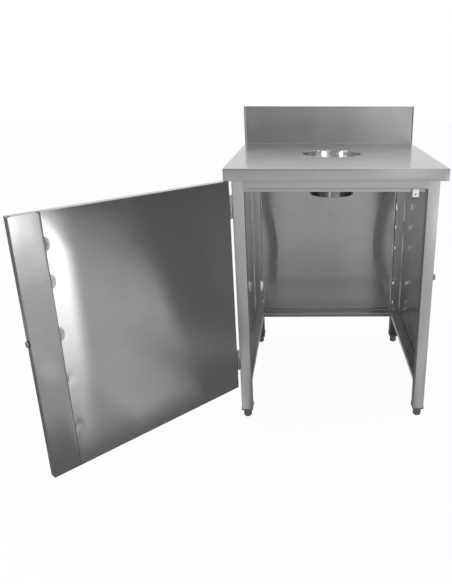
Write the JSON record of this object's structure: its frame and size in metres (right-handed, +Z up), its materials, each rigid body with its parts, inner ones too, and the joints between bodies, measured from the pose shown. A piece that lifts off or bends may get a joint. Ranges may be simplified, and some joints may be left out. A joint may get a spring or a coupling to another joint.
{
  "type": "waste bin cabinet",
  "caption": "Square-tube catering cabinet with a worktop, rear upstand, round waste chute and side hung door, on adjustable feet, open below for a bin.",
  "frame": {"origin": "on the floor, at the middle of the worktop's footprint", "axes": "+X to the right seen from the front, +Y towards the wall, +Z up; the door is on the -Y side, hung on the left, and rests open at 133 degrees"},
  "size_m": [1.1483, 1.1673, 1.05],
  "materials": {
    "stainless_sheet": "satin",
    "stainless_tube": "satin",
    "steel_fittings": "plain",
    "brass_washer": "plain",
    "rubber_washer": "matt",
    "white_plastic": "satin",
    "black_plastic": "matt",
    "worktop_board": "unfinished board"
  },
  "bodies": {
    "cabinet": {"worktop_shell": "stainless_sheet", "upstand_end_caps": "stainless_sheet", "worktop_core": "worktop_board", "worktop_rear_channel": "stainless_sheet", "waste_chute": "stainless_sheet", "front_left_leg": "stainless_tube", "front_right_leg": "stainless_tube", "rear_left_leg": "stainless_tube", "rear_right_leg": "stainless_tube", "front_top_rail": "stainless_tube", "rear_top_rail": "stainless_tube", "left_top_rail": "stainless_tube", "right_top_rail": "stainless_tube", "rear_bottom_rail": "stainless_tube", "left_bottom_rail": "stainless_tube", "right_bottom_rail": "stainless_tube", "back_panel": "stainless_sheet", "left_side_panel": "stainless_sheet", "right_side_panel": "stainless_sheet", "door_stop_strip": "stainless_tube", "catch_bracket": "steel_fittings", "catch_plate": "white_plastic", "front_left_insert": "black_plastic", "front_right_insert": "black_plastic", "rear_left_insert": "black_plastic", "rear_right_insert": "black_plastic", "insert_screws": "steel_fittings", "upper_hinge_frame_knuckle": "steel_fittings", "upper_hinge_pin": "steel_fittings", "upper_hinge_washer": "brass_washer", "lower_hinge_frame_knuckle": "steel_fittings", "lower_hinge_pin": "steel_fittings", "lower_hinge_washer": "brass_washer", "leg_stud": "steel_fittings", "leg_stud_washer": "rubber_washer"},
    "door": {"upper_hinge_door_knuckle": "steel_fittings", "lower_hinge_door_knuckle": "steel_fittings", "door_pan": "stainless_sheet", "door_liner": "stainless_sheet", "door_stud": "steel_fittings", "door_stud_washer": "rubber_washer"},
    "front_left_levelling_foot": {"front_left_foot": "black_plastic", "front_left_foot_stud": "steel_fittings"},
    "front_right_levelling_foot": {"front_right_foot": "black_plastic", "front_right_foot_stud": "steel_fittings"},
    "rear_left_levelling_foot": {"rear_left_foot": "black_plastic", "rear_left_foot_stud": "steel_fittings"},
    "rear_right_levelling_foot": {"rear_right_foot": "black_plastic", "rear_right_foot_stud": "steel_fittings"}
  },
  "joints": [
    {"name": "door_hinge", "type": "hinge", "parent": "cabinet", "child": "door", "pos_m": [-0.332, -0.3305, 0], "axis": [0, 0, -1], "range_deg": [-133, 47]},
    {"name": "front_left_foot_height", "type": "slide", "parent": "cabinet", "child": "front_left_levelling_foot", "axis": [0, 0, -1], "range_m": [0, 0.015]},
    {"name": "front_right_foot_height", "type": "slide", "parent": "cabinet", "child": "front_right_levelling_foot", "axis": [0, 0, -1], "range_m": [0, 0.015]},
    {"name": "rear_left_foot_height", "type": "slide", "parent": "cabinet", "child": "rear_left_levelling_foot", "axis": [0, 0, -1], "range_m": [0, 0.015]},
    {"name": "rear_right_foot_height", "type": "slide", "parent": "cabinet", "child": "rear_right_levelling_foot", "axis": [0, 0, -1], "range_m": [0, 0.015]}
  ]
}
